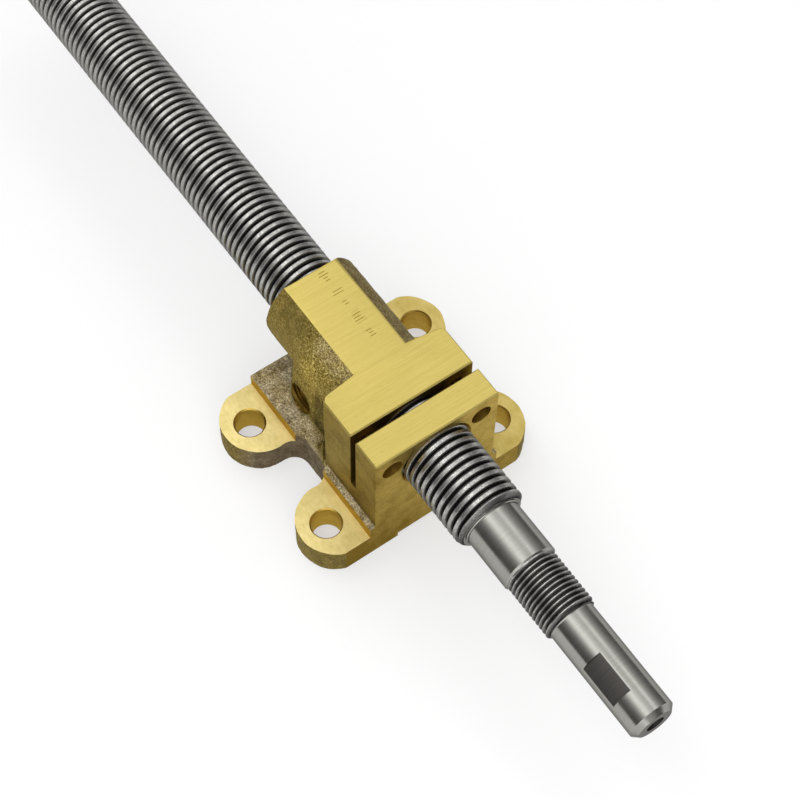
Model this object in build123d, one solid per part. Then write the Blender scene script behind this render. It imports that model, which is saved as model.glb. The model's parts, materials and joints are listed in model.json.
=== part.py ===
"""Feed nut on its lead screw: a four-eared brass casting and the turned steel screw that runs through it.

X runs along the screw towards its driven end, Z is up, and the origin is the middle of the four bolt holes on
the plane of the machined underside. All sizes are millimetres.
"""
import os
from math import sqrt

from build123d import *

# Lead screw, from its plain rear end to the driven end
lead_d = 22.0               # over the crests of the lead thread
lead_root_d = 19.2          # at the roots, where the thread's end chamfers stop
lead_behind = 190.0         # thread behind the middle of the nut
lead_ahead = 57.0           # thread ahead of the middle of the nut
journal_d = 17.0            # bearing seat
journal_length = 17.3
fine_d = 16.0               # fine thread for the bearing's lock nuts
fine_root_d = 14.2
fine_length = 18.2
drive_d = 14.0              # seat of the hand wheel
drive_length = 35.0
drive_chamfer = 1.6
flat_depth = 0.85           # milled flat for the wheel's set screw
flat_length = 12.8
flat_end_gap = 9.3          # from the flat to the end face
flat_angle = 43.0           # from straight up, towards the near side
centre_d = 5.6              # turning centre in the driven end
centre_cone = 2.7
centre_drill_d = 2.5
centre_drill_depth = 4.0

# Nut casting
nut_length = 62.0
axis_height = 38.0
top_above_axis = 12.8
body_width = 41.2
sleeve_d = 30.8
block_length = 28.0         # full-height block at the front
block_sweep = 1.8           # how far the block's rear corners lie ahead of its root
block_corner_r = 2.0
web_r = 12.0                # concave rise from the platform to the block's rear wall
pedestal_ledge = 3.6        # from the body's side in to the pedestal's foot
pedestal_inset = 0.45       # from the sleeve's side in to the pedestal's neck
pedestal_setback = 10.0     # from the rear face to the pedestal
pedestal_corner_r = 5.0
sleeve_fillet = 3.0         # in the crease between the sleeve and the pedestal
foot_fillet = 2.5           # between the pedestal and the platform
platform_height = 14.5
running_clearance = 0.08    # between the bore and the screw's crests
bore_chamfer = 0.8

# Ears and underside
bolt_end_gap = 11.0         # from the end faces to the bolt holes
bolt_pitch_y = 60.0
bolt_hole_d = 9.0
ear_r = 11.6
ear_inset = 3.1             # the ear's rounding is centred this far inboard of its hole
ear_thickness = 10.0
ear_corner_r = 2.5
waist_fillet = 5.0
seat_step = 1.7             # from the body's side out to the step walls of the spot faces
ledge_cove_r = 1.5          # hollow from the ledge over a front step wall up to the block's side
channel_width = 25.0        # shallow channel along the underside
channel_depth = 1.8
edge_break = 0.4

# Slit, leaf and holes
slit_width = 2.5
leaf_thickness = 9.6
slit_below_axis = 14.6
adjust_spacing = 30.0
adjust_above_axis = 6.1
adjust_clear_d = 6.6        # through the leaf
adjust_core_d = 5.0         # tapped into the block
adjust_depth = 13.0         # beyond the slit
port_d = 9.0                # tapped side port
port_mouth_d = 10.4
port_from_end = 7.8         # from the pedestal's rear end
port_above_platform = 6.4
port_depth = 12.0

nut_front = nut_length / 2
nut_rear = -nut_length / 2
nut_top = axis_height + top_above_axis
block_rear = nut_front - block_length
bore_d = lead_d + 2 * running_clearance
bolt_pitch_x = nut_length - 2 * bolt_end_gap
seat_gap = body_width + 2 * seat_step
foot_width = body_width - 2 * pedestal_ledge
neck_width = sleeve_d - 2 * pedestal_inset
pedestal_rear = nut_rear + pedestal_setback
pedestal_lean = (foot_width - neck_width) / 2 / (axis_height - platform_height)
foot_share = 0.4            # most of the gap under the sleeve that the foot fillet may fill
near = 0.01                 # slack for telling edges and corners apart


def turned(x, length, diameter):
    """A cylinder on the screw's axis, starting at x."""
    return Pos(x + length / 2, 0, axis_height) * Rot(0, 90, 0) * Cylinder(diameter / 2, length)


def coned(x, length, start_d, end_d):
    """A cone on the screw's axis, starting at x."""
    return Pos(x + length / 2, 0, axis_height) * Rot(0, 90, 0) * Cone(start_d / 2, end_d / 2, length)


def plate(outline, height):
    """An outline raised from the underside to a height."""
    return extrude(outline, height)


def ear_plan():
    """Underside outline: the body with four ears, cut flush with both end faces."""
    ear_x = bolt_pitch_x / 2
    ear_y = bolt_pitch_y / 2 - ear_inset
    outline = Rectangle(nut_length, body_width)
    for end in (-1, 1):
        outline += Pos(end * (nut_front - bolt_end_gap / 2), 0) * Rectangle(bolt_end_gap, 2 * ear_y)
        for side in (-1, 1):
            outline += Pos(end * ear_x, side * ear_y) * Circle(ear_r)
    outline &= Rectangle(nut_length, 2 * (ear_y + ear_r))
    waists = outline.vertices().filter_by(lambda v: abs(v.X) < ear_x)
    neck = sqrt(ear_r ** 2 - (ear_y - body_width / 2) ** 2)
    outline = fillet(waists, min(waist_fillet, (ear_x - neck) / 2))
    tips = outline.vertices().filter_by(lambda v: abs(v.X) > nut_front - near and abs(v.Y) > ear_y)
    return fillet(tips, ear_corner_r)


def block_plan():
    """Outline of the full-height block, its rear wall swept forward to rounded corners."""
    side = body_width / 2
    root = sleeve_d / 4
    corner_x = block_rear + block_sweep
    outline = make_face(Polyline(
        (nut_front, -side),
        (nut_front, side),
        (corner_x, side),
        (block_rear, root),
        (block_rear, -root),
        (corner_x, -side),
        close=True,
    ))
    corners = outline.vertices().filter_by(lambda v: abs(v.X - corner_x) < near)
    return fillet(corners, block_corner_r)


def root_web():
    """Concave rise from the platform to the block's rear wall."""
    wall = block_rear + block_sweep
    square = Pos(wall - web_r / 2, platform_height + web_r / 2) * Rectangle(web_r, web_r)
    profile = square - Pos(wall - web_r, platform_height + web_r) * Circle(web_r)
    return extrude(Plane.XZ * profile, body_width / 2, both=True)


def ledge_coves(plan):
    """Hollows from the ledges of the front ears up to the block's sides."""
    top = platform_height + ledge_cove_r
    profile = Pos(0, top - ledge_cove_r / 2) * Rectangle(body_width + 2 * ledge_cove_r, ledge_cove_r)
    for side in (-1, 1):
        profile -= Pos(side * (body_width / 2 + ledge_cove_r), top) * Circle(ledge_cove_r)
    run = extrude(Plane.YZ.offset(block_rear + block_sweep + block_corner_r) * profile, nut_length)
    return run & plate(plan, top)


def pedestal():
    """Support of the sleeve, with drafted sides and a round rear end."""
    section = make_face(Polyline(
        (-foot_width / 2, platform_height),
        (foot_width / 2, platform_height),
        (neck_width / 2, axis_height),
        (-neck_width / 2, axis_height),
        close=True,
    ))
    support = extrude(Plane.YZ.offset(pedestal_rear) * section, nut_front - pedestal_rear)
    rear_corners = support.faces().sort_by(Axis.X)[0].edges().filter_by(Axis.Y, reverse=True)
    return fillet(rear_corners, pedestal_corner_r)


def upper_body():
    """Sleeve on its pedestal, run into the full-height block."""
    sleeve = turned(nut_rear, nut_length - leaf_thickness, sleeve_d)
    body = pedestal() + sleeve + plate(block_plan(), nut_top)
    over = Pos(0, 0, nut_top + sleeve_d / 2) * Box(2 * nut_length, 2 * body_width, sleeve_d)
    body -= over
    lowest = axis_height - sleeve_d / 4
    creases = body.edges().filter_by(Axis.X).filter_by(
        lambda e: lowest < e.center().Z < axis_height and e.center().X < block_rear)
    return fillet(creases, sleeve_fillet)


def nut_casting():
    """The raw casting: upper body on a base with four ears."""
    plan = ear_plan()
    platform = plate(plan & Rectangle(nut_length, seat_gap), platform_height)
    casting = upper_body() + plate(plan, ear_thickness) + platform
    feet = casting.edges().filter_by(
        lambda e: abs(e.center().Z - platform_height) < near
        and abs(e.center().Y) < foot_width / 2 + near
        and nut_rear + near < e.center().X < nut_front - near)
    under_sleeve = axis_height - sleeve_d / 2 - platform_height
    foot_r = min(foot_fillet, pedestal_ledge - edge_break, foot_share * under_sleeve)
    return fillet(feet, foot_r) + root_web() + ledge_coves(plan)


def bolt_holes():
    """Four bolt holes with broken top edges."""
    hole = Cylinder(bolt_hole_d / 2, 2 * ear_thickness)
    rim = Cone(bolt_hole_d / 2, bolt_hole_d / 2 + edge_break, edge_break)
    hole += Pos(0, 0, ear_thickness - edge_break / 2) * rim
    return [spot * hole for spot in GridLocations(bolt_pitch_x, bolt_pitch_y, 2, 2)]


def adjust_holes():
    """Two holes through the leaf, going on as tapped holes in the block."""
    slit_front = nut_front - leaf_thickness
    slit_rear = slit_front - slit_width
    along_x = Rot(0, 90, 0)
    hole = Pos(slit_front + leaf_thickness / 2, 0, 0) * along_x * Cylinder(adjust_clear_d / 2, leaf_thickness)
    hole += Pos(slit_rear - adjust_depth / 2, 0, 0) * along_x * Cylinder(adjust_core_d / 2, adjust_depth)
    height = axis_height + adjust_above_axis
    return [Pos(0, side * adjust_spacing / 2, height) * hole for side in (-1, 1)]


def side_port():
    """Tapped port in the pedestal's near wall, with a countersunk mouth."""
    wall = foot_width / 2 - port_above_platform * pedestal_lean
    sink = (port_mouth_d - port_d) / 2
    face = Pos(pedestal_rear + port_from_end, -wall, platform_height + port_above_platform) * Rot(90, 0, 0)
    port = face * Pos(0, 0, -port_depth / 2 + foot_fillet) * Cylinder(port_d / 2, port_depth + 2 * foot_fillet)
    port += face * Pos(0, 0, foot_fillet) * Cylinder(port_mouth_d / 2, 2 * foot_fillet)
    return port + face * Pos(0, 0, -sink / 2) * Cone(port_d / 2, port_mouth_d / 2, sink)


def feed_nut():
    """The machined nut."""
    slit_x = nut_front - leaf_thickness - slit_width / 2
    slit_depth = top_above_axis + slit_below_axis
    slit = Pos(slit_x, 0, nut_top) * Box(slit_width, 2 * body_width, 2 * slit_depth)
    channel = Box(2 * nut_length, channel_width, 2 * channel_depth)
    mouth_d = bore_d + 2 * bore_chamfer
    bore = turned(nut_rear, nut_length, bore_d)
    bore += coned(nut_rear, bore_chamfer, mouth_d, bore_d)
    bore += coned(nut_front - bore_chamfer, bore_chamfer, bore_d, mouth_d)
    nut = nut_casting() - slit - channel - bore - side_port() - bolt_holes() - adjust_holes()
    top_edges = nut.edges().group_by(Axis.Z)[-1]
    return chamfer(top_edges, edge_break)


def screw_profile():
    """Half section of the screw, from its rear end to the turning centre of its driven end."""
    rear = -lead_behind
    journal_rear = lead_ahead
    fine_rear = journal_rear + journal_length
    drive_rear = fine_rear + fine_length
    end = drive_rear + drive_length
    lead_chamfer = (lead_d - lead_root_d) / 2
    fine_chamfer = (fine_d - fine_root_d) / 2
    fine_step = (journal_d - fine_d) / 2
    drill_end = end - centre_cone - centre_drill_depth
    outline = Polyline(
        (rear, 0),
        (rear, lead_root_d / 2),
        (rear + lead_chamfer, lead_d / 2),
        (journal_rear - lead_chamfer, lead_d / 2),
        (journal_rear, lead_root_d / 2),
        (journal_rear, journal_d / 2),
        (fine_rear - fine_step, journal_d / 2),
        (fine_rear, fine_d / 2),
        (drive_rear - fine_chamfer, fine_d / 2),
        (drive_rear, fine_root_d / 2),
        (drive_rear, drive_d / 2),
        (end - drive_chamfer, drive_d / 2),
        (end, drive_d / 2 - drive_chamfer),
        (end, centre_d / 2),
        (end - centre_cone, centre_drill_d / 2),
        (drill_end, centre_drill_d / 2),
        (drill_end, 0),
        close=True,
    )
    return make_face(outline), end


def lead_screw():
    """The turned screw: lead thread length, bearing journal, fine thread and driven end with its flat."""
    section, end = screw_profile()
    seam_underneath = Rot(180, 0, 0)
    bar = seam_underneath * revolve(Plane.XZ * section, Axis.X)
    flat_x = end - flat_end_gap - flat_length / 2
    chip = Pos(flat_x, 0, drive_d - flat_depth) * Box(flat_length, 2 * drive_d, drive_d)
    bar -= Rot(flat_angle, 0, 0) * chip
    return Pos(0, 0, axis_height) * bar


os.makedirs("parts", exist_ok=True)
export_step(feed_nut(), "parts/feed_nut.step")
export_step(lead_screw(), "parts/lead_screw.step")
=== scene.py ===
# %% [markdown]
# # A brass feed nut on its lead screw
# The nut is one brass casting with four bolt ears. Its top, ends, seats and holes are machined, and a saw cut
# leaves a springy leaf at the front. The screw is turned from steel bar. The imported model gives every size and
# place, so this lesson only adds what the solids leave out: the threads, the cast skin and the finishes.

# %% Frame
import json
from math import copysign, cos, hypot, pi, radians, sin

import bmesh
import bpy
from mathutils import Matrix, Vector, noise


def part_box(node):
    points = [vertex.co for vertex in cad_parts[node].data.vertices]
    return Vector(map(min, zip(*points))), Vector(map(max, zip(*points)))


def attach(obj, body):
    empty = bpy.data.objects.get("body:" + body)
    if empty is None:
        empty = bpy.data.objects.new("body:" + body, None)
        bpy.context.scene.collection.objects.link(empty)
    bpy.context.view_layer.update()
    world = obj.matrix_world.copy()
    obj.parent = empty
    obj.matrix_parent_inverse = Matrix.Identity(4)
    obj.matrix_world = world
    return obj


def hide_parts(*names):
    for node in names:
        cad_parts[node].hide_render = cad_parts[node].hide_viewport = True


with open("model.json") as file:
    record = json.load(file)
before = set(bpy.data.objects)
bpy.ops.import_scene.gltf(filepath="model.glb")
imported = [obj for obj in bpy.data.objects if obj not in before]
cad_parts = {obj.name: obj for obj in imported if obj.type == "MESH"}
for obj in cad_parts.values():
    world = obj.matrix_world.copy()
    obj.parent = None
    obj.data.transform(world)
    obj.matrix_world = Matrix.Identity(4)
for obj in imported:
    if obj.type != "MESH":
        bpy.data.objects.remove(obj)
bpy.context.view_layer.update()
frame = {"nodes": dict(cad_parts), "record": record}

mm = 0.001
nut_low, nut_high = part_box("feed_nut")
screw_low, screw_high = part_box("lead_screw")
axis_z = (screw_low.z + screw_high.z) / 2
print("nut from", nut_low, "to", nut_high, "screw axis at", round(axis_z, 4))

# %% [markdown]
# ## Camera
# The photographer stood ahead of the driven end, a little to its left, and looked steeply down. The angles are
# read as a turn round the object, a height above the floor and a small roll, and the lens is a long one.

# %% Camera
camera_place = Vector((234.65, -165.0, 531.8)) * mm
camera_turn = radians(53.29)
camera_height = radians(60.60)
camera_roll = radians(1.67)
camera_lens = 90.91

back = Vector((sin(camera_turn) * cos(camera_height), -cos(camera_turn) * cos(camera_height), sin(camera_height)))
level = Vector((cos(camera_turn), sin(camera_turn), 0))
steep = back.cross(level)
rightward = level * cos(camera_roll) + steep * sin(camera_roll)
upward = steep * cos(camera_roll) - level * sin(camera_roll)
camera = bpy.data.objects.new("camera", bpy.data.cameras.new("camera"))
camera.matrix_world = Matrix.Translation(camera_place) @ Matrix((rightward, upward, back)).transposed().to_4x4()
camera.data.lens = camera_lens
camera.data.clip_end = 50
bpy.context.scene.collection.objects.link(camera)
bpy.context.scene.camera = camera
bpy.context.scene.view_settings.view_transform = "Standard"
print("camera at", camera_place, "lens", camera_lens)

# %% [markdown]
# ## Small helpers for nodes
# A material is a small graph. Nodes could be placed and joined one call at a time, but that hides the idea in
# long lists. The first helper adds a node, sets its sockets by name and links the values that are sockets.


# %% Node helpers
def node(tree, kind, **values):
    """Add a node, set its sockets or properties by name, and link the values that are sockets."""
    made = tree.nodes.new("ShaderNode" + kind)
    for key, value in values.items():
        label = key.replace("_", " ")
        if key.startswith("in") and key[2:].isdigit():
            place = made.inputs[int(key[2:])]
        elif label in made.inputs:
            place = made.inputs[label]
        else:
            setattr(made, key, value)
            continue
        if isinstance(value, bpy.types.NodeSocket):
            tree.links.new(value, place)
        else:
            place.default_value = value
    return made


print("a node takes its values by name")


# %% [markdown]
# An effect that several materials share is built once as a node group. One helper makes the group with named
# sockets, the other places it in a material with that material's own values.


# %% Group helpers
def effect(name, inputs, outputs):
    """A shader node group with named sockets: the group, what comes in, and what goes out."""
    group = bpy.data.node_groups.new(name, "ShaderNodeTree")
    for label, kind in inputs.items():
        group.interface.new_socket(label, in_out="INPUT", socket_type="NodeSocket" + kind)
    for label, kind in outputs.items():
        group.interface.new_socket(label, in_out="OUTPUT", socket_type="NodeSocket" + kind)
    return group, group.nodes.new("NodeGroupInput").outputs, group.nodes.new("NodeGroupOutput").inputs


def use(tree, group, **values):
    """Place a group in a material with its own values and return its outputs."""
    made = tree.nodes.new("ShaderNodeGroup")
    made.node_tree = group
    for key, value in values.items():
        place = made.inputs[key.replace("_", " ")]
        if isinstance(value, bpy.types.NodeSocket):
            tree.links.new(value, place)
        else:
            place.default_value = value
    return made.outputs


print("groups are made by effect and placed by use")


# %% [markdown]
# Most graphs stretch a value, mix two colours by it or look a colour up in a ramp. These steps get a helper
# each, so that a finish reads as a sentence.


# %% Mixing helpers
def ramp(tree, factor, stops):
    """A colour ramp from (place, colour) stops; returns its colour."""
    made = node(tree, "ValToRGB", Fac=factor)
    points = made.color_ramp.elements
    while len(points) < len(stops):
        points.new(1.0)
    for point, (place, colour) in zip(points, stops):
        point.position = place
        point.color = (*colour, 1)
    return made.outputs["Color"]


def stretch(tree, value, low, high, to_low=0.0, to_high=1.0):
    """Stretch a range of a value onto another range, held at its ends."""
    made = node(tree, "MapRange", Value=value, From_Min=low, From_Max=high, To_Min=to_low, To_Max=to_high)
    return made.outputs["Result"]


def blend(tree, factor, first, second):
    """Mix two colours by a factor; returns the colour."""
    made = node(tree, "Mix", data_type="RGBA", in0=factor)
    for place, value in ((made.inputs[6], first), (made.inputs[7], second)):
        if isinstance(value, bpy.types.NodeSocket):
            tree.links.new(value, place)
        else:
            place.default_value = (*value, 1)
    return made.outputs[2]


def times(tree, first, second):
    """Multiply two values."""
    return node(tree, "Math", operation="MULTIPLY", in0=first, in1=second).outputs[0]


def plus(tree, first, second):
    """Add two values."""
    return node(tree, "Math", operation="ADD", in0=first, in1=second).outputs[0]


def toned(tree, colour, level):
    """Make a colour lighter or darker by a level."""
    return node(tree, "VectorMath", operation="SCALE", in0=colour, Scale=level).outputs[0]


print("finishes are written with ramp, stretch, blend, times, plus and toned")

# %% [markdown]
# ## Effects that several finishes share
# A cutter leaves fine parallel lines. A picture of lines would need an unwrapped surface, so a noise that is
# stretched along one direction of the object draws them in place, at any size.

# %% Tool marks
marks_group, came, gone = effect("tool_marks", {"Vector": "Vector", "Scale": "Vector"}, {"Marks": "Float"})
drawn = node(marks_group, "VectorMath", operation="MULTIPLY", in0=came["Vector"], in1=came["Scale"])
lines = node(marks_group, "TexNoise", Vector=drawn.outputs[0], Scale=1.0, Detail=5.0, Roughness=0.6)
marks_group.links.new(stretch(marks_group, lines.outputs["Fac"], 0.3, 0.7), gone["Marks"])
print("effect", marks_group.name)

# %% [markdown]
# A fly cutter swings a single tooth round a wide circle and leaves shallow arcs. The same noise is drawn over the
# distance and the angle from the circle's middle, so its lines bend as the arcs do.

# %% Swept marks
swept_group, came, gone = effect(
    "swept_marks", {"Vector": "Vector", "Centre": "Vector", "Across": "Float", "Along": "Float"}, {"Marks": "Float"})
arm = node(swept_group, "VectorMath", operation="SUBTRACT", in0=came["Vector"], in1=came["Centre"]).outputs[0]
ends = node(swept_group, "SeparateXYZ", Vector=arm).outputs
reach = node(swept_group, "CombineXYZ", X=ends["X"], Y=ends["Y"]).outputs[0]
reach = node(swept_group, "VectorMath", operation="LENGTH", in0=reach).outputs["Value"]
swing = node(swept_group, "Math", operation="ARCTAN2", in0=ends["Y"], in1=ends["X"]).outputs[0]
curl = node(swept_group, "CombineXYZ", X=times(swept_group, reach, came["Across"]),
            Y=times(swept_group, swing, came["Along"]))
arcs = node(swept_group, "TexNoise", Vector=curl.outputs[0], Scale=1.0, Detail=3.0, Roughness=0.6)
swept_group.links.new(stretch(swept_group, arcs.outputs["Fac"], 0.3, 0.7), gone["Marks"])
print("effect", swept_group.name)

# %% [markdown]
# Hands, oil and coolant leave smudges of no clear shape. A soft cloud of noise with two limits gives them, and the
# limits say how much of the surface is clean.

# %% Smudges
smudge_group, came, gone = effect(
    "smudges", {"Vector": "Vector", "Scale": "Float", "Low": "Float", "High": "Float"}, {"Mask": "Float"})
cloud = node(smudge_group, "TexNoise", Vector=came["Vector"], Scale=came["Scale"], Detail=4.0, Roughness=0.55)
held = stretch(smudge_group, cloud.outputs["Fac"], came["Low"], came["High"])
smudge_group.links.new(held, gone["Mask"])
print("effect", smudge_group.name)

# %% [markdown]
# A thread's valleys are darkened, partly for the dark oil they hold and partly as painted shade. Its depth follows
# from the distance to the screw's axis, so no painting by hand is needed: the mask runs from the crest's radius to the
# root's.

# %% Thread depth
depth_group, came, gone = effect(
    "thread_depth", {"Vector": "Vector", "Axis Height": "Float", "Crest": "Float", "Root": "Float"},
    {"Depth": "Float"})
parts = node(depth_group, "SeparateXYZ", Vector=came["Vector"]).outputs
rise = node(depth_group, "Math", operation="SUBTRACT", in0=parts["Z"], in1=came["Axis Height"]).outputs[0]
square = plus(depth_group, times(depth_group, parts["Y"], parts["Y"]), times(depth_group, rise, rise))
radius = node(depth_group, "Math", operation="SQRT", in0=square).outputs[0]
depth_group.links.new(stretch(depth_group, radius, came["Crest"], came["Root"]), gone["Depth"])
print("effect", depth_group.name)


# %% [markdown]
# ## Finishes
# Every finish is a Principled shader. A function starts it, and each material then wires only what changes over
# its surface; what is the same all over is set on the shader itself.


# %% Start of a finish
def finish(name, **values):
    """A new material; returns it with its node tree, its shader and the surface's own coordinates."""
    made = bpy.data.materials.new(name)
    made.use_nodes = True
    tree = made.node_tree
    shader = tree.nodes["Principled BSDF"]
    for key, value in values.items():
        shader.inputs[key.replace("_", " ")].default_value = value
    place = node(tree, "TexCoord").outputs["Object"]
    return made, tree, shader, place


def bump(tree, shader, height, strength, distance):
    """Let a height tilt the shader's normal."""
    made = node(tree, "Bump", Height=height, Strength=strength, Distance=distance)
    tree.links.new(made.outputs["Normal"], shader.inputs["Normal"])


print("finishes start as Principled shaders")


# %% [markdown]
# ### Machined brass
# Sawn, drilled, milled and rubbed faces differ in colour, in the way of their lines and in their dirt and painted
# shade. Some faces get darker towards the foot, some keep small pits of the casting, and the seats carry painted shade
# on their far side. One function makes them all; the top is made apart, because it shows most.


# %% Machined brass
brass_edge = (0.82, 0.72, 0.45, 1)
foot_full_z, foot_none_z, far_y = 4 * mm, 26 * mm, 25 * mm


def machined_brass(name, bright, dull, stain_and_shade, scale, roughness, smudged, foot=0.0, far_shade_near_stain=0.0, pitted=0.0):
    """Brass with tool marks one way, smudges, pits, a darkening towards the foot, and painted shade on the far side
    (below 0: a stain on the near side).
    """
    made, tree, shader, place = finish(name, Metallic=1.0, Specular_Tint=brass_edge)
    marks = use(tree, marks_group, Vector=place, Scale=scale)["Marks"]
    cloud = use(tree, smudge_group, Vector=place, Scale=160.0, Low=0.42, High=0.72)["Mask"]
    along = node(tree, "SeparateXYZ", Vector=place).outputs
    # The colour darkens towards the foot. A positive far value paints shade on the far side; a negative one darkens
    # the near side as a stain.
    low = stretch(tree, along["Z"], foot_full_z, foot_none_z, foot, 0.0)
    side_shade_and_stain = stretch(tree, along["Y"], 0.0, copysign(far_y, far_shade_near_stain), 0.0, abs(far_shade_near_stain))
    pits = use(tree, smudge_group, Vector=place, Scale=1500.0, Low=0.56, High=0.66)["Mask"]
    foot_side_and_pits = plus(tree, plus(tree, low, side_shade_and_stain), times(tree, pits, pitted))
    dirt_and_shade = stretch(tree, plus(tree, times(tree, cloud, smudged), foot_side_and_pits), 0.0, 1.0)
    lined = blend(tree, marks, dull, bright)
    tree.links.new(blend(tree, dirt_and_shade, lined, stain_and_shade), shader.inputs["Base Color"])
    tree.links.new(stretch(tree, marks, 0.0, 1.0, roughness + 0.06, roughness - 0.06), shader.inputs["Roughness"])
    bump(tree, shader, marks, 0.25, 0.02 * mm)
    return made


# The seats darken towards the far side: painted shade, as the light falls from the near side.
ear_seat = machined_brass("ear_seat", (0.92, 0.79, 0.38), (0.84, 0.70, 0.30), (0.54, 0.42, 0.12),
                          (500.0, 900.0, 300.0), 0.58, 0.35, far_shade_near_stain=0.75)
# The step walls' deep orange is a painted reflection of the gold seats in front of them.
step_wall = machined_brass("step_wall", (0.47, 0.32, 0.078), (0.40, 0.26, 0.055), (0.28, 0.17, 0.03),
                           (300.0, 300.0, 1500.0), 0.45, 0.4)
# The end face darkens towards its foot, and its near side carries a stain.
end_face = machined_brass("end_face", (0.53, 0.40, 0.130), (0.44, 0.32, 0.090), (0.19, 0.12, 0.026),
                          (120.0, 120.0, 1500.0), 0.48, 0.45, 0.5, -0.45, 0.35)
drilled_wall = machined_brass("drilled_wall", (0.62, 0.43, 0.095), (0.50, 0.33, 0.06), (0.34, 0.21, 0.035),
                              (200.0, 200.0, 2500.0), 0.42, 0.4)
# The sawn walls are dark brass: painted shade of the narrow slit.
sawn_wall = machined_brass("sawn_wall", (0.19, 0.115, 0.026), (0.13, 0.078, 0.017), (0.08, 0.048, 0.011),
                           (300.0, 300.0, 1600.0), 0.5, 0.6)
rubbed_side = machined_brass("rubbed_side", (0.30, 0.23, 0.085), (0.25, 0.185, 0.062), (0.12, 0.085, 0.030),
                             (700.0, 500.0, 700.0), 0.5, 0.8, 0.45, pitted=0.45)
# The tapped walls are near black brass: painted shade inside the port.
tapped_wall = machined_brass("tapped_wall", (0.24, 0.155, 0.030), (0.15, 0.092, 0.016), (0.08, 0.048, 0.01),
                             (600.0, 600.0, 600.0), 0.4, 0.6)
machined = (ear_seat, step_wall, end_face, drilled_wall, sawn_wall, rubbed_side, tapped_wall)
print("machined brass", [made.name for made in machined])


# %% [markdown]
# ### Milled top
# The top was cut by one wide sweep and is pale satin gold, with faint arcs. On its stem the tooth chattered and
# left rows of short dashes. They are cut too shallow to model, so a comb of lines along X darkens the colour,
# where a ramp along X says where the rows are and a window across Y says how long the dashes are.


# %% Milled top
sweep_centre = Vector((-74, 27, 0)) * mm
chatter_reach = 32 * mm
chatter_rows = ((-29.4, -25.6), (-22.4, -20.7), (-18.2, -16.3), (-13.4, -9.3), (-6.9, -3.4))
dash_pitch = 1.05 * mm


def milled_top():
    """Pale brass with arcs of a fly cutter and rows of chatter dashes."""
    made, tree, shader, place = finish("milled_top", Metallic=1.0, Specular_Tint=brass_edge)
    arcs = use(tree, swept_group, Vector=place, Centre=sweep_centre, Across=2000.0, Along=34.0)["Marks"]
    fine = use(tree, marks_group, Vector=place, Scale=(2400.0, 70.0, 70.0))["Marks"]
    cloud = use(tree, smudge_group, Vector=place, Scale=90.0, Low=0.4, High=0.7)["Mask"]
    along = node(tree, "SeparateXYZ", Vector=place).outputs
    rows = node(tree, "ValToRGB", Fac=stretch(tree, along["X"], -chatter_reach, 0.0))
    rows.color_ramp.interpolation = "CONSTANT"
    points = rows.color_ramp.elements
    points[0].color, points[1].color = (0, 0, 0, 1), (0, 0, 0, 1)
    for first, last in chatter_rows:
        points.new(1 + first * mm / chatter_reach).color = (1, 1, 1, 1)
        points.new(1 + last * mm / chatter_reach).color = (0, 0, 0, 1)
    wobble = node(tree, "TexNoise", Vector=place, Scale=420.0, Detail=1.0).outputs["Fac"]
    comb = node(tree, "Math", operation="SINE", in0=times(tree, along["X"], 2 * pi / dash_pitch)).outputs[0]
    start = stretch(tree, wobble, 0.35, 0.65, 0.9 * mm, 2.4 * mm)
    past = node(tree, "Math", operation="SUBTRACT", in0=along["Y"], in1=start).outputs[0]
    window = times(tree, stretch(tree, past, 0.0, 0.3 * mm), stretch(tree, past, 2.0 * mm, 2.6 * mm, 1.0, 0.0))
    dashes = times(tree, times(tree, stretch(tree, comb, 0.4, 0.8), window), rows.outputs["Color"])
    satin = blend(tree, fine, (0.555, 0.444, 0.125), (0.607, 0.494, 0.150))
    arced = blend(tree, stretch(tree, arcs, 0.05, 0.25, 0.40, 0.0), satin, (0.44, 0.34, 0.08))
    hazed = blend(tree, times(tree, cloud, 0.25), arced, (0.59, 0.47, 0.145))
    tree.links.new(blend(tree, times(tree, dashes, 0.95), hazed, (0.27, 0.19, 0.03)), shader.inputs["Base Color"])
    tree.links.new(stretch(tree, fine, 0.0, 1.0, 0.52, 0.42), shader.inputs["Roughness"])
    bump(tree, shader, arcs, 0.08, 0.02 * mm)
    return made


top_face = milled_top()
print("milled brass", top_face.name)
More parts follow.
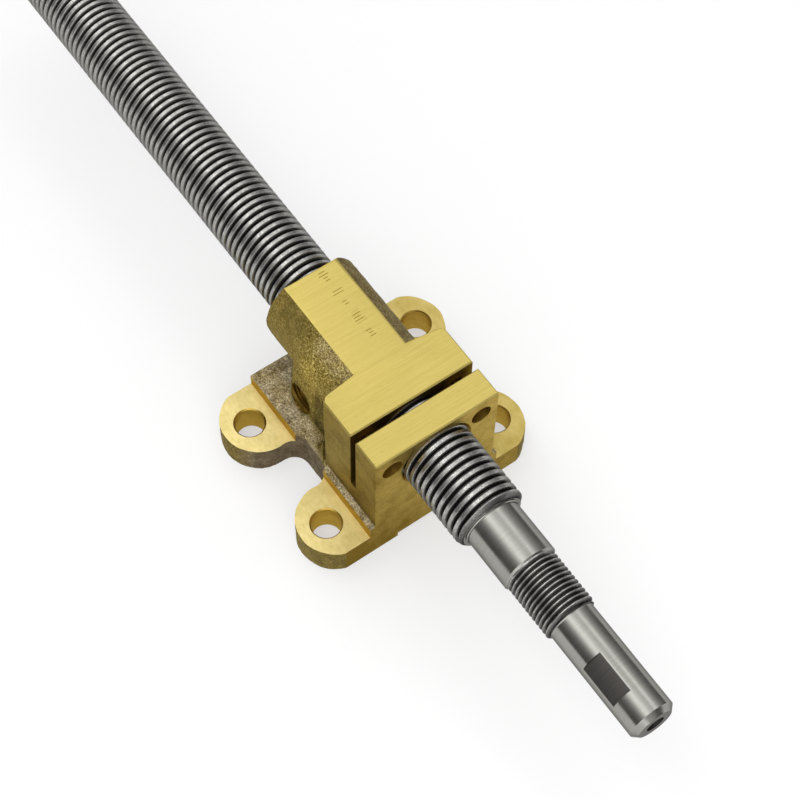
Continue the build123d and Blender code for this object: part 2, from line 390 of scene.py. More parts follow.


# %% [markdown]
# ### Cast skin
# Sand leaves a skin of dark pits and lighter grains, olive where it is clean. It is silvery on the ledges and the
# platform and rubbed smooth on the ears. Painted shade darkens the corner behind the block and painted light brightens
# the near side of the sleeve. The mesh carries this as three attributes, which rules below paint, and the material
# only reads them.


# %% Cast skin
def cast_skin():
    """Sand-cast brass with silvery and rubbed regions, painted shade and painted light."""
    made, tree, shader, place = finish("cast_skin", Metallic=0.5, Specular_IOR_Level=0.25, Specular_Tint=brass_edge)
    sand = node(tree, "TexNoise", Vector=place, Scale=1900.0, Detail=3.0, Roughness=0.7).outputs["Fac"]
    grain = stretch(tree, sand, 0.25, 0.75)
    patch = use(tree, smudge_group, Vector=place, Scale=170.0, Low=0.38, High=0.62)["Mask"]
    blotch = use(tree, smudge_group, Vector=place, Scale=330.0, Low=0.36, High=0.64)["Mask"]
    silver, shade, rubbed = (node(tree, "Attribute", attribute_name=name).outputs["Fac"]
                             for name in ("silver", "shade", "rubbed"))
    olive = ramp(tree, grain, [(0.28, (0.105, 0.070, 0.012)), (0.48, (0.215, 0.155, 0.030)),
                               (0.64, (0.350, 0.265, 0.064)), (0.82, (0.600, 0.500, 0.180))])
    grey = toned(tree, blend(tree, blotch, (0.275, 0.212, 0.125), (0.530, 0.455, 0.295)),
                 stretch(tree, grain, 0.28, 0.80, 0.50, 1.60))
    smooth = blend(tree, silver, blend(tree, patch, (0.150, 0.108, 0.026), (0.235, 0.178, 0.048)),
                   (0.106, 0.074, 0.050))
    smooth = toned(tree, smooth, stretch(tree, blotch, 0.0, 1.0, 0.72, 1.15))
    skin = blend(tree, times(tree, silver, stretch(tree, patch, 0.0, 1.0, 0.6, 1.0)), olive, grey)
    skin = blend(tree, times(tree, rubbed, 0.85), skin, smooth)
    # Painted shade darkens corners, creases and the port's rim; painted light brightens the near side of the sleeve.
    shaded = times(tree, shade, stretch(tree, patch, 0.0, 1.0, 1.0, 0.65))
    tree.links.new(toned(tree, skin, stretch(tree, shaded, -1.0, 1.0, 1.85, 0.15)), shader.inputs["Base Color"])
    tree.links.new(stretch(tree, grain, 0.2, 0.9, 0.75, 0.5), shader.inputs["Roughness"])
    bump(tree, shader, times(tree, grain, stretch(tree, rubbed, 0.0, 1.0, 1.0, 0.25)), 0.7, 0.25 * mm)
    return made


nut_finishes = [cast_skin(), top_face, ear_seat, step_wall, end_face, drilled_wall, sawn_wall, rubbed_side,
                tapped_wall]
print("nut finishes", [made.name for made in nut_finishes])

# %% [markdown]
# ### Steel
# The screw's crests are bright from turning; its valleys are darker, partly for oil and partly as painted shade. The
# journal and the driven end are satin with fine turning lines, the milled flat is a darker grey and the centre hole is
# near black as painted shade. Two functions cover these five finishes.

# %% Steel
lead_crest_r = (screw_high.z - screw_low.z) / 2
lead_root_r = 9.6 * mm
fine_crest_r = 8.0 * mm
fine_root_r = 7.1 * mm
turning_scale = (3500.0, 40.0, 40.0)
steel_edge = (0.35, 0.35, 0.35, 1)


def thread_steel(name, crest, root):
    """Steel that darkens from a thread's crest to its root."""
    made, tree, shader, place = finish(name, Metallic=1.0, Specular_Tint=steel_edge)
    depth = use(tree, depth_group, Vector=place, Axis_Height=axis_z, Crest=crest, Root=root)["Depth"]
    marks = use(tree, marks_group, Vector=place, Scale=turning_scale)["Marks"]
    spots = use(tree, smudge_group, Vector=place, Scale=2300.0, Low=0.40, High=0.62)["Mask"]
    crest_steel = blend(tree, marks, (0.45, 0.44, 0.415), (0.64, 0.63, 0.60))
    crest_steel = blend(tree, times(tree, spots, 0.55), crest_steel, (0.17, 0.165, 0.16))
    # Valleys darken partly for the oil they hold and partly as painted shade.
    oil_and_shade = ramp(tree, depth, [(0.0, (1.0, 1.0, 1.0)), (0.10, (0.50, 0.50, 0.50)), (1.0, (0.13, 0.13, 0.13))])
    tree.links.new(toned(tree, crest_steel, oil_and_shade), shader.inputs["Base Color"])
    tree.links.new(stretch(tree, spots, 0.0, 1.0, 0.24, 0.42), shader.inputs["Roughness"])
    bump(tree, shader, marks, 0.1, 0.02 * mm)
    return made


def plain_steel(name, bright, dull, roughness):
    """Turned or milled steel with fine lines."""
    made, tree, shader, place = finish(name, Metallic=1.0, Specular_Tint=steel_edge)
    marks = use(tree, marks_group, Vector=place, Scale=turning_scale)["Marks"]
    cloud = use(tree, smudge_group, Vector=place, Scale=120.0, Low=0.35, High=0.75)["Mask"]
    spots = use(tree, smudge_group, Vector=place, Scale=2300.0, Low=0.40, High=0.62)["Mask"]
    lined = blend(tree, marks, dull, bright)
    tree.links.new(blend(tree, times(tree, spots, 0.3), lined, dull), shader.inputs["Base Color"])
    tree.links.new(stretch(tree, cloud, 0.0, 1.0, roughness - 0.04, roughness + 0.06), shader.inputs["Roughness"])
    bump(tree, shader, marks, 0.1, 0.02 * mm)
    return made


screw_finishes = [
    thread_steel("lead_thread", lead_crest_r, lead_root_r),
    plain_steel("turned_steel", (0.37, 0.364, 0.336), (0.31, 0.304, 0.28), 0.23),
    thread_steel("fine_thread", fine_crest_r, fine_root_r),
    plain_steel("milled_flat", (0.105, 0.098, 0.092), (0.08, 0.074, 0.07), 0.45),
    # The centre hole's near black steel is painted shade inside the hole.
    plain_steel("centre_hole", (0.03, 0.028, 0.026), (0.02, 0.018, 0.017), 0.5),
]
print("screw finishes", [made.name for made in screw_finishes])

# %% [markdown]
# ## Threads
# A thread is one pitch of its profile, spun round the axis while it moves on by a pitch each turn. A screw modifier
# could do it, but the spin operator gives the mesh at once. Spinning every turn would be slow, so one turn is spun
# and then doubled by copies. The turns meet edge to edge, and welding makes one wall of them.

# %% Cutting and copying
weld = 0.004 * mm
axis_line = Vector((0, 0, axis_z))


def everything(bm):
    """All vertices, edges and faces of a mesh in one list."""
    return bm.verts[:] + bm.edges[:] + bm.faces[:]


def cut_at(bm, place, keep):
    """Cut across the X axis; keep "below", "above" or "both" sides."""
    bmesh.ops.bisect_plane(bm, geom=everything(bm), dist=weld, plane_co=(place, 0, 0), plane_no=(1, 0, 0),
                           clear_outer=keep == "below", clear_inner=keep == "above")


print("walls are cut across X and welded at", weld)


# %% [markdown]
# The thread helper below serves the screw's two threads and the tapped port of the nut. Two planes cut the wall to
# length, as a lathe faces the ends of a bar.


# %% Thread helper
def thread_wall(profile, pitch, start, first, last, steps):
    """Spin one turn of a one-pitch profile of (x, radius), copy it along the screw's axis, cut it to length."""
    begin = first - pitch - (first - start) % pitch
    bm = bmesh.new()
    points = [bm.verts.new((begin + x, 0, axis_z + r)) for x, r in profile]
    rim = [bm.edges.new(pair) for pair in zip(points, points[1:])]
    bmesh.ops.spin(bm, geom=points + rim, cent=axis_line, axis=(1, 0, 0), dvec=(pitch / steps, 0, 0),
                   angle=2 * pi, steps=steps)
    length = pitch
    while begin + length < last + pitch:
        copy = bmesh.ops.duplicate(bm, geom=everything(bm))["geom"]
        bmesh.ops.translate(bm, verts=[part for part in copy if isinstance(part, bmesh.types.BMVert)],
                            vec=(length, 0, 0))
        length *= 2
    bmesh.ops.remove_doubles(bm, verts=bm.verts, dist=weld)
    cut_at(bm, first, "above")
    cut_at(bm, last, "below")
    return bm


print("threads are spun, copied and cut")


# %% [markdown]
# Threads end in chamfers and run-outs. Instead of cutting cones, every vertex is held between two radii that depend
# on its place along X. Plain lengths are spun from an open profile, and rims are joined by bridging.


# %% Turning helpers
def hold_radius(bm, lowest, highest):
    """Move each vertex in or out until its radius is between two functions of x."""
    for vert in bm.verts:
        out = hypot(vert.co.y, vert.co.z - axis_z)
        wanted = min(max(out, lowest(vert.co.x)), highest(vert.co.x))
        vert.co.y *= wanted / out
        vert.co.z = axis_z + (vert.co.z - axis_z) * wanted / out


def turned(profile, steps=96):
    """A turned wall: an open profile of (x, radius) spun once round the screw's axis."""
    bm = bmesh.new()
    points = [bm.verts.new((x, 0, axis_z + r)) for x, r in profile]
    rim = [bm.edges.new(pair) for pair in zip(points, points[1:])]
    bmesh.ops.spin(bm, geom=points + rim, cent=axis_line, axis=(1, 0, 0), angle=2 * pi, steps=steps,
                   use_merge=True)
    bmesh.ops.remove_doubles(bm, verts=bm.verts, dist=weld)
    return bm


def add_walls(bm, *walls):
    """Put other walls into one mesh."""
    for wall in walls:
        spare = bpy.data.meshes.new("spare")
        wall.to_mesh(spare)
        wall.free()
        bm.from_mesh(spare)
        bpy.data.meshes.remove(spare)


rim_reach = 5 * weld


def bridge(bm, axis, *places):
    """Join the open rims that lie at these places along an axis, give or take the rounding of the record."""
    rims = [edge for edge in bm.edges if edge.is_boundary
            and any(all(abs(vert.co[axis] - place) < rim_reach for vert in edge.verts) for place in places)]
    return bmesh.ops.bridge_loops(bm, edges=rims)


print("turned walls are spun, gathered and bridged")

# %% [markdown]
# ## The lead screw
# Its ends come from the box of the solid and the radii of the journal and the driven end from the record's mounts, so
# that the dressed screw is as long and as thick as the plain one.

# %% Stations of the screw
mounts = {mount["name"]: mount for mount in frame["record"]["mounts"]}
journal_r = mounts["bearing_journal"]["dims"]["r_mm"] * mm
drive_r = mounts["wheel_seat"]["dims"]["r_mm"] * mm
rear_end, drive_end = screw_low.x, screw_high.x
lead_end = 57.0 * mm
fine_start = 74.3 * mm
fine_end = 92.5 * mm
drive_chamfer = 1.6 * mm
gap = 0.05 * mm
lead_pitch = 2.5 * mm
fine_pitch = 1.5 * mm
lead_start = 0.3 * mm
thread_steps = 48
print("journal radius", journal_r, "driven end radius", drive_r)

# %% [markdown]
# The lead thread moves the nut. It is a strong thread with broad crests, steep flanks and a narrow valley, so its
# profile is drawn as a trapezoid with slightly rounded corners. Both ends are chamfered for the nut to start on.

# %% Lead thread
lead_profile = [(0.0, 10.90), (0.10, 11.0), (1.10, 11.0), (1.20, 10.90), (1.56, 9.68), (1.66, 9.6), (2.04, 9.6),
                (2.14, 9.68), (2.5, 10.90)]
lead_profile = [(x * mm, r * mm) for x, r in lead_profile]
lead_chamfer = lead_crest_r - lead_root_r
lead = thread_wall(lead_profile, lead_pitch, lead_start, rear_end + gap, lead_end - gap, thread_steps)
cut_at(lead, rear_end + lead_chamfer, "both")
cut_at(lead, lead_end - lead_chamfer, "both")
hold_radius(lead, lambda x: lead_root_r,
            lambda x: min(lead_crest_r, lead_root_r + x - rear_end, lead_root_r + lead_end - x))
print("lead thread", len(lead.faces), "faces")

# %% [markdown]
# The fine thread takes the lock nuts of the bearing. It is a plain V with small flats. It starts out of the journal's
# step without a groove, so its depth grows over the first turn.

# %% Fine thread
fine_profile = [(0.0, 7.94), (0.05, 8.0), (0.32, 8.0), (0.37, 7.94), (0.80, 7.14), (0.86, 7.1), (1.01, 7.1),
                (1.07, 7.14), (1.5, 7.94)]
fine_profile = [(x * mm, r * mm) for x, r in fine_profile]
run_out = 0.75
fine = thread_wall(fine_profile, fine_pitch, fine_start, fine_start + gap, fine_end - gap, thread_steps)
hold_radius(fine, lambda x: max(fine_root_r, fine_crest_r - (x - fine_start) * run_out),
            lambda x: min(fine_crest_r, fine_root_r + fine_end - x))
print("fine thread", len(fine.faces), "faces")

# %% [markdown]
# The journal, the driven end and the rear face are plain turning. The driven end has a chamfer and a centre hole,
# which the lathe's centre needs; both belong to one spun profile.

# %% Turned lengths
journal_break = 0.25 * mm
fine_step = journal_r - fine_crest_r
centre_r = 2.8 * mm
centre_cone = 2.7 * mm
drill_r = 1.25 * mm
drill_depth = 4.0 * mm
rear_face = turned([(rear_end, 0), (rear_end, lead_root_r)])
journal = turned([(lead_end, lead_root_r), (lead_end, journal_r + journal_break),
                  (lead_end + journal_break, journal_r), (fine_start - fine_step, journal_r),
                  (fine_start, fine_crest_r)])
drive = turned([(fine_end, fine_root_r), (fine_end + journal_break, drive_r),
                (fine_end + 2 * journal_break, drive_r), (drive_end - drive_chamfer, drive_r),
                (drive_end, drive_r - drive_chamfer), (drive_end, centre_r), (drive_end - centre_cone, drill_r),
                (drive_end - centre_cone - drill_depth, drill_r),
                (drive_end - centre_cone - drill_depth - drill_r / 2, 0)])
print("turned", len(journal.faces), "faces of the journal and", len(drive.faces), "of the driven end")

# %% [markdown]
# The flat is milled as on the machine: two cuts across mark its ends, a plane takes the chip off between them,
# and the floor and the two end walls close the hole again.

# %% Milled flat
flat_first, flat_last = 105.4 * mm, 118.2 * mm
flat_depth = 0.85 * mm
flat_turn = radians(43)
flat_out = Vector((0, -sin(flat_turn), cos(flat_turn)))
flat_place = axis_line + flat_out * (drive_r - flat_depth)
for place in (flat_first, flat_last):
    cut_at(drive, place, "both")
ring = [face for face in drive.faces if flat_first < face.calc_center_median().x < flat_last
        and hypot(face.calc_center_median().y, face.calc_center_median().z - axis_z) > drive_r / 2]
ring = bmesh.ops.split(drive, geom=ring)["geom"]
bmesh.ops.bisect_plane(drive, geom=ring, dist=weld, plane_co=flat_place, plane_no=flat_out, clear_outer=True)
rim = [vert for vert in drive.verts if flat_first - weld < vert.co.x < flat_last + weld
       and vert.is_boundary and abs((vert.co - flat_place).dot(flat_out)) < weld]
bmesh.ops.contextual_create(drive, geom=rim)
bmesh.ops.remove_doubles(drive, verts=drive.verts, dist=weld)
walls = [edge for edge in drive.edges if edge.is_boundary
         and any(all(abs(vert.co.x - place) < weld for vert in edge.verts) for place in (flat_first, flat_last))]
bmesh.ops.holes_fill(drive, edges=walls, sides=0)
print("flat closed with", len(rim), "corners")

# %% [markdown]
# The walls become one mesh. Bridges close the narrow gaps between them, and the place of each face then tells which
# of the five steel finishes it has.

# %% Screw in one mesh
LEAD, TURNED, FINE, FLAT, CENTRE = range(5)
screw = bmesh.new()
add_walls(screw, rear_face, lead, journal, fine, drive)
for near_rim, far_rim in ((rear_end, rear_end + gap), (lead_end - gap, lead_end),
                          (fine_start, fine_start + gap), (fine_end - gap, fine_end)):
    bridge(screw, 0, near_rim, far_rim)
bmesh.ops.remove_doubles(screw, verts=screw.verts, dist=weld / 4)
bmesh.ops.recalc_face_normals(screw, faces=screw.faces)
for face in screw.faces:
    middle = face.calc_center_median()
    on_flat = flat_first < middle.x < flat_last and abs((middle - flat_place).dot(flat_out)) < weld
    in_fine = fine_start < middle.x < fine_end
    in_lead = rear_end + weld < middle.x < lead_end - gap
    in_centre = hypot(middle.y, middle.z - axis_z) < centre_r and fine_end < middle.x < drive_end - weld
    kinds = ((in_centre, CENTRE), (on_flat, FLAT), (in_fine, FINE), (in_lead, LEAD), (True, TURNED))
    face.material_index = next(kind for claimed, kind in kinds if claimed)
    face.smooth = True
print("screw", len(screw.faces), "faces, open edges", sum(edge.is_boundary for edge in screw.edges))


# %% [markdown]
# A finished mesh becomes an object that rides on its body and stands for the plain CAD node.


# %% Placing a piece
def place_piece(bm, name, finishes, body, cad_node, crease):
    """Turn a mesh into a shaded piece that rides on a body and replaces a node."""
    mesh = bpy.data.meshes.new(name)
    bm.to_mesh(mesh)
    bm.free()
    if "custom_normal" in mesh.attributes:
        mesh.attributes.remove(mesh.attributes["custom_normal"])
    mesh.set_sharp_from_angle(angle=radians(crease))
    for made in finishes:
        mesh.materials.append(made)
    piece = bpy.data.objects.new(name, mesh)
    bpy.context.scene.collection.objects.link(piece)
    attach(piece, body)
    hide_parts(cad_node)
    mesh.calc_loop_triangles()
    print(name, len(mesh.loop_triangles), "triangles")


place_piece(screw, "threaded_screw", screw_finishes, "screw", "lead_screw", 30)

# %% [markdown]
# ## The nut
# A copy of the CAD mesh is the start, because the nut's form is all there. Its faces are told apart by their place
# and direction, so the planes that matter are named first.

# %% Planes of the nut
block_side = 20.6 * mm
seat_side = 22.3 * mm
seat_z = 10.0 * mm
platform_z = 14.5 * mm
slit_rear, slit_front, slit_floor = 18.9 * mm, 21.4 * mm, 23.4 * mm
close = 0.05 * mm
bolts, adjusters, port = (mounts[name] for name in ("base_bolts", "adjust_holes", "side_port"))
port_at = Vector(port["pos_m"])
print("slit from", slit_rear, "to", slit_front, "port at", port_at)

# %% [markdown]
# Drills and taps leave round walls. A face belongs to one if its middle is near the hole's axis, and the mounts of
# the record say where the axes are.

# %% Walls of holes
CAST, TOP, SEAT, STEP, END, DRILLED, SAWN, SIDE, TAPPED = range(9)
bolt_reach, adjust_reach, port_reach, bore_reach = 5.0 * mm, 3.4 * mm, 5.3 * mm, 12.0 * mm
adjust_depth, port_side = 13.5 * mm, 20 * mm
bolt_x, bolt_y = bolts["dims"]["spacing_x_mm"] / 2 * mm, bolts["dims"]["spacing_y_mm"] / 2 * mm
adjust_y, adjust_z = adjusters["dims"]["spacing_x_mm"] / 2 * mm, adjusters["pos_m"][2]


def in_hole(middle):
    """Whether a point is on the wall of the bore, a bolt hole, an adjusting hole or the port."""
    from_bolt = hypot(abs(middle.x) - bolt_x, abs(middle.y) - bolt_y)
    from_adjuster = hypot(abs(middle.y) - adjust_y, middle.z - adjust_z)
    from_port = hypot(middle.x - port_at.x, middle.z - port_at.z)
    from_bore = hypot(middle.y, middle.z - axis_z)
    return (from_bolt < bolt_reach and middle.z < seat_z - close
            or from_adjuster < adjust_reach and middle.x > slit_rear - adjust_depth
            or from_port < port_reach and -port_side < middle.y < 0
            or from_bore < bore_reach and abs(middle.x) < nut_high.x - close)


print("holes near", [tuple(mount["pos_m"]) for mount in (bolts, adjusters, port)])

# %% [markdown]
# The other faces follow from their planes: the milled top, the sawn slit, the faced ends, the spot-faced seats with
# their step walls and the rubbed sides of the block. Where the top meets the raw skin of the stem, its edge stays
# cast. What no rule claims is cast too.


# %% Which finish a face has
edge_strip = 0.45 * mm
stem_half, stem_front = 9.5 * mm, 6 * mm
rear_wall_from, rear_wall_to = 2 * mm, 8 * mm
channel_half, channel_top = 13 * mm, 3 * mm
side_rear, port_rim = 4 * mm, 6 * mm
leans, faces_it = 0.3, 0.9


def finish_of(face):
    """The finish of a face of the nut, from its place and direction."""
    middle, out = face.calc_center_median(), face.normal
    if middle.z > nut_high.z - edge_strip:
        on_stem = abs(out.y) > leans and abs(middle.y) < stem_half and middle.x < stem_front
        on_rear = out.x < -leans and rear_wall_from < middle.x < rear_wall_to and middle.y < 0
        return CAST if on_stem or on_rear else TOP
    in_slit = slit_rear - close < middle.x < slit_front + close and middle.z > slit_floor - close
    if in_slit and (abs(out.x) > faces_it or out.z > faces_it):
        return SAWN
    if abs(abs(middle.x) - nut_high.x) < close and abs(out.x) > faces_it:
        return END
    if in_hole(middle):
        below_bore = middle.z < axis_z - bore_reach
        at_port = below_bore and middle.y < port_at.y and abs(middle.x - port_at.x) < port_rim
        return TAPPED if at_port else DRILLED
    if middle.z < channel_top and (out.z < -faces_it or abs(middle.y) < channel_half and abs(out.x) < faces_it):
        return END
    if abs(middle.z - seat_z) < close and out.z > faces_it:
        return SEAT
    if abs(abs(middle.y) - seat_side) < close and abs(out.y) > faces_it and middle.z < platform_z + close:
        return STEP
    on_side = abs(abs(middle.y) - block_side) < close and abs(out.y) > faces_it
    return SIDE if on_side and middle.z > platform_z and middle.x > side_rear else CAST


nut = bmesh.new()
nut.from_mesh(frame["nodes"]["feed_nut"].data)
bmesh.ops.remove_doubles(nut, verts=nut.verts, dist=weld / 2)
for face in nut.faces:
    face.material_index = finish_of(face)
    face.smooth = face.material_index in (CAST, DRILLED, TAPPED)
counts = [sum(face.material_index == kind for face in nut.faces) for kind in range(len(nut_finishes))]
print("faces by finish", counts, "open edges", sum(edge.is_boundary for edge in nut.edges))

# %% [markdown]
# ### Cast form
# A casting has no sharp edges and no true planes. Its faces are divided until their edges are about a millimetre
# long, which gives the next two steps something to move.

# %% Dividing the cast faces
cast_edge, most_rounds = 1.0 * mm, 9
for _ in range(most_rounds):
    long_edges = [edge for edge in nut.edges if edge.calc_length() > cast_edge
                  and any(face.material_index == CAST for face in edge.link_faces)]
    if not long_edges:
        break
    bmesh.ops.subdivide_edges(nut, edges=long_edges, cuts=1)
    bmesh.ops.triangulate(nut, faces=[face for face in nut.faces if len(face.verts) > 3])
print("nut divided into", len(nut.faces), "faces")


# %% [markdown]
# The pattern maker rounds every edge so that the sand lets go. A bevel would need clean edge loops, which a divided
# mesh no longer has, so the vertices along the creases are smoothed instead.


# %% Softening the creases
def is_cast(part):
    """Whether all faces round an edge or vertex are cast."""
    return all(face.material_index == CAST for face in part.link_faces)


crease_angle = radians(22)
creases = {vert for edge in nut.edges if is_cast(edge) and edge.calc_face_angle(0.0) > crease_angle
           for vert in edge.verts if is_cast(vert)}
beside = {edge.other_vert(vert) for vert in creases for edge in vert.link_edges}
for soft in (creases | {vert for vert in beside if is_cast(vert)}, creases, creases):
    bmesh.ops.smooth_vert(nut, verts=list(soft), factor=0.5, use_axis_x=True, use_axis_y=True, use_axis_z=True)
print("softened", len(creases), "vertices on creases")

# %% [markdown]
# Sand also leaves waves and pits. Two noises move the skin in and out. Where a cast face meets a machined one, the
# edge may only slide in the machined plane, which leaves that plane true but its outline wavy, as on the real nut.

# %% Roughening the cast faces
wave, wave_size = 0.16 * mm, 5.0 * mm
pits, pit_size = 0.10 * mm, 1.5 * mm
nut.normal_update()
moves = {}
for vert in nut.verts:
    skins = [face.normal for face in vert.link_faces if face.material_index == CAST]
    if not skins:
        continue
    out = sum(skins, Vector()).normalized()
    move = out * (wave * noise.noise(vert.co / wave_size) + pits * noise.noise(vert.co / pit_size + Vector((7, 3, 1))))
    for face in vert.link_faces:
        if face.material_index != CAST:
            move -= face.normal * move.dot(face.normal)
    moves[vert] = move
for vert, move in moves.items():
    vert.co += move
print("roughened", len(moves), "vertices")

# %% [markdown]
# ### Regions of the skin
# The three attributes that the cast skin reads are floats on the vertices. Each rule multiplies soft limits along X, Y
# or Z, in millimetres, so a region fades out instead of stopping at an edge.


# %% Painting the regions
def fade(value, none, full):
    """0 at one limit, 1 at the other, a straight line between."""
    return min(max((value - none) / (full - none), 0.0), 1.0)


def silver_at(x, y, z):
    """How silvery the skin is: ledges, platform and waists, with a little on the collar and the far flank."""
    ledge = fade(abs(y), 20.0, 20.7) * fade(x, 5, 7) * fade(z, 12, 14.2) * fade(z, 17.5, 16.5)
    platform = fade(z, 18, 15) * fade(z, 13.0, 14.3) * fade(x, 5, 2)
    waist = fade(abs(x), 16, 11) * fade(abs(y), 17, 20) * fade(z, 14.8, 13.8)
    collar = 0.4 * fade(x, -14, -8) * fade(x, 5, 3) * fade(z, 45, 49)
    flank = 0.5 * fade(y, 7, 9) * fade(z, 32, 38)
    return max(ledge, platform, waist, collar, flank)


def shade_at(x, y, z):
    """How much painted shade darkens the skin (above 0), or painted light brightens it (below 0)."""
    # The corner, the band, the port's rim and the crease are painted shade; the patch, the sleeve and the platform are
    # painted light.
    corner = fade(x, -8, -5) * fade(x, 9, 6) * fade(z, 16, 19) * fade(z, 36, 31) * fade(abs(y), 10, 13)
    band = 0.4 * fade(x, -10, -15) * fade(x, -30, -26) * fade(z, 44, 48) * fade(y, 0, -5)
    rim = 0.6 * fade(hypot(x - port_at.x / mm, z - port_at.z / mm), 7.5, 5.4) * fade(y, 0, -5)
    crease = 0.35 * fade(z, 18, 15) * fade(abs(y), 17, 14) * fade(z, 14, 14.4)
    patch = 0.9 * fade(hypot((x + 10) / 7, (z - 38) / 10), 1.0, 0.4) * fade(y, -9, -12)
    sleeve = 0.35 * fade(z, 17, 24) * fade(y, -5, -9)
    platform = 0.2 * fade(z, 18, 15) * fade(z, 13.0, 14.3) * fade(x, 5, 2)
    return max(corner, band, rim, crease) - max(patch, sleeve, platform)


def rubbed_at(x, y, z):
    """How far hands and tools have rubbed the skin smooth."""
    ears = 0.75 * fade(z, 10.8, 9.8)
    waist = 0.9 * fade(abs(x), 16, 11) * fade(abs(y), 18, 20) * fade(z, 14.4, 13.0)
    sleeve = 0.8 * fade(x, -10, -20) * fade(z, 24, 32)
    flank = 0.7 * fade(y, 6, 9) * fade(z, 24, 32)
    return max(ears, waist, sleeve, flank)


for name, rule in (("silver", silver_at), ("shade", shade_at), ("rubbed", rubbed_at)):
    layer = nut.verts.layers.float.new(name)
    for vert in nut.verts:
        vert[layer] = rule(*(vert.co / mm))
    print(name, "covers", round(sum(vert[layer] for vert in nut.verts) / len(nut.verts), 2), "of the vertices")

# %% [markdown]
# ### The tapped port
# The port in the near wall is threaded. Its plain wall is deleted, a thread is spun along X as before, turned to
# point out of the port and bridged to the two rims that were left open.

# %% Port thread
port_half = port["dims"]["length_mm"] / 2 * mm
port_r = port["dims"]["r_mm"] * mm
plain = [face for face in nut.faces if abs(face.normal.y) < 0.2
         and abs(face.calc_center_median().y - port_at.y) < port_half
         and hypot(face.calc_center_median().x - port_at.x, face.calc_center_median().z - port_at.z) < port_r + close]
bmesh.ops.delete(nut, geom=plain, context="FACES")
tap_pitch, tap_steps = 1.0 * mm, 40
tap_profile = [(0.0, 4.53), (0.03, 4.5), (0.20, 4.5), (0.23, 4.53), (0.58, 4.97), (0.62, 5.0), (0.66, 4.97),
               (1.0, 4.53)]
tap_profile = [(x * mm, r * mm) for x, r in tap_profile]
tap = thread_wall(tap_profile, tap_pitch, 0.0, gap - port_half, port_half - gap, tap_steps)
turn = Matrix.Translation(port_at) @ Matrix.Rotation(radians(-90), 4, "Z") @ Matrix.Translation(-axis_line)
bmesh.ops.transform(tap, matrix=turn, verts=tap.verts)
for face in tap.faces:
    face.material_index = TAPPED
    face.smooth = True
add_walls(nut, tap)
for end in (port_at.y - port_half, port_at.y + port_half):
    inward = gap if end < port_at.y else -gap
    for face in bridge(nut, 1, end, end + inward)["faces"]:
        face.material_index = TAPPED
bmesh.ops.recalc_face_normals(nut, faces=nut.faces)
print("replaced", len(plain), "faces of the port, open edges", sum(edge.is_boundary for edge in nut.edges))

place_piece(nut, "nut_casting", nut_finishes, "nut", "feed_nut", 38)

# %% [markdown]
# ## Floor
# The floor is a plain white sheet under the nut. It adds a little light of its own, for the camera and for mirror
# rays only, so that it looks white while the object's shadow stays on it.

# %% Floor
floor_drop = 0.3 * mm
floor_reach = 30.0
floor_grey = (0.45, 0.45, 0.45, 1)
floor_glow = 0.52
sheet = bmesh.new()
bmesh.ops.create_grid(sheet, x_segments=1, y_segments=1, size=floor_reach)
bmesh.ops.translate(sheet, verts=sheet.verts, vec=(0, 0, nut_low.z - floor_drop))
floor_mesh = bpy.data.meshes.new("floor")
sheet.to_mesh(floor_mesh)
sheet.free()
floor = bpy.data.objects.new("floor", floor_mesh)
bpy.context.scene.collection.objects.link(floor)

floor_paint = bpy.data.materials.new("white_floor")
floor_paint.use_nodes = True
tree = floor_paint.node_tree
tree.nodes.remove(tree.nodes["Principled BSDF"])
matt = node(tree, "BsdfDiffuse", Color=floor_grey)
path = node(tree, "LightPath").outputs
seen = node(tree, "Math", operation="MAXIMUM", in0=path["Is Camera Ray"], in1=path["Is Glossy Ray"]).outputs[0]
seen = node(tree, "Math", operation="MAXIMUM", in0=seen, in1=path["Is Transmission Ray"]).outputs[0]
glow = node(tree, "Emission", Color=(1, 1, 1, 1), Strength=times(tree, seen, floor_glow))
both = node(tree, "AddShader", in0=matt.outputs[0], in1=glow.outputs[0])
tree.links.new(both.outputs[0], tree.nodes["Material Output"].inputs["Surface"])
floor_mesh.materials.append(floor_paint)
print("floor at", round(nut_low.z - floor_drop, 5))

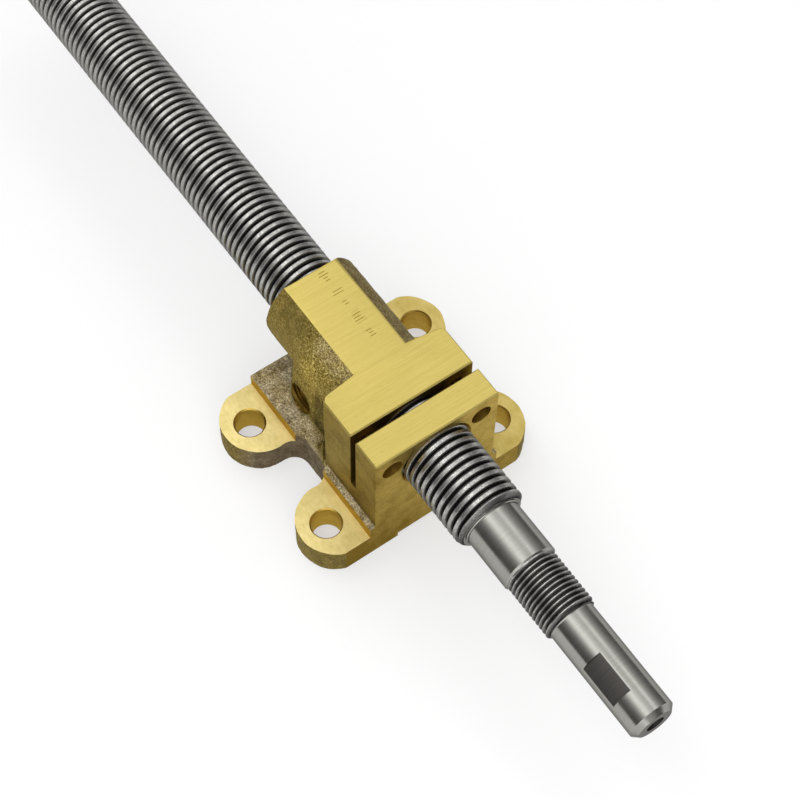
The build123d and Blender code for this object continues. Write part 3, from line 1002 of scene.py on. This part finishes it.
# %% [markdown]
# ## Light
# Steel shows the room as bands along the screw, so the room is drawn as those bands: a bright one on each side of the
# top and dark ones towards the floor. They depend only on the direction round the screw's axis. A ramp over that
# direction is easier to match than lamps, and its mean level is about one, so colours look as they are written.

# %% Room
room = bpy.data.worlds.new("room")
bpy.context.scene.world = room
room.use_nodes = True
tree = room.node_tree
way = node(tree, "SeparateXYZ", Vector=node(tree, "TexCoord").outputs["Generated"]).outputs
square = plus(tree, times(tree, way["Y"], way["Y"]), times(tree, way["Z"], way["Z"]))
across = node(tree, "Math", operation="SQRT", in0=square).outputs[0]
turn = node(tree, "Math", operation="DIVIDE", in0=way["Y"], in1=across).outputs[0]
bands = [(-0.98, 0.13), (-0.91, 0.18), (-0.80, 0.30), (-0.66, 0.62), (-0.50, 1.45), (-0.32, 2.25), (-0.12, 1.62),
         (0.08, 1.15), (0.28, 1.05), (0.44, 2.00), (0.62, 0.90), (0.82, 0.46), (0.94, 0.27), (1.00, 0.20)]
brightest = max(level for _, level in bands)
glow = ramp(tree, stretch(tree, turn, -1.0, 1.0),
            [((place + 1) / 2, (level / brightest,) * 3) for place, level in bands])
ahead = stretch(tree, way["X"], 0.0, 0.6, brightest, 0.4 * brightest)
above = stretch(tree, way["Z"], 0.0, 0.2, 0.35, 1.0)
tree.links.new(times(tree, times(tree, glow, ahead), above), tree.nodes["Background"].inputs["Color"])
print("room of", len(bands), "bands, brightest", brightest)

# %% [markdown]
# The bands leave the nut's sides dull. A window ahead on the near side lights the ears and the casting, from where
# the screw doesn't mirror it, and a weak fill lifts the far side.


# %% Soft lamps
lamp_distance = 1.2


def soft_lamp(name, direction, side, power):
    """A square soft lamp that faces the nut."""
    lamp = bpy.data.lights.new(name, "AREA")
    lamp.size, lamp.energy = side, power
    holder = bpy.data.objects.new(name, lamp)
    away = Vector(direction).normalized()
    holder.rotation_euler = away.to_track_quat("Z", "Y").to_euler()
    holder.location = away * lamp_distance + axis_line
    bpy.context.scene.collection.objects.link(holder)


soft_lamp("window", (0.68, -0.60, 0.44), 1.4, 9.5)
soft_lamp("fill", (0.5, 0.7, 0.5), 0.8, 1.0)
print("lamps", [made.name for made in bpy.data.lights])
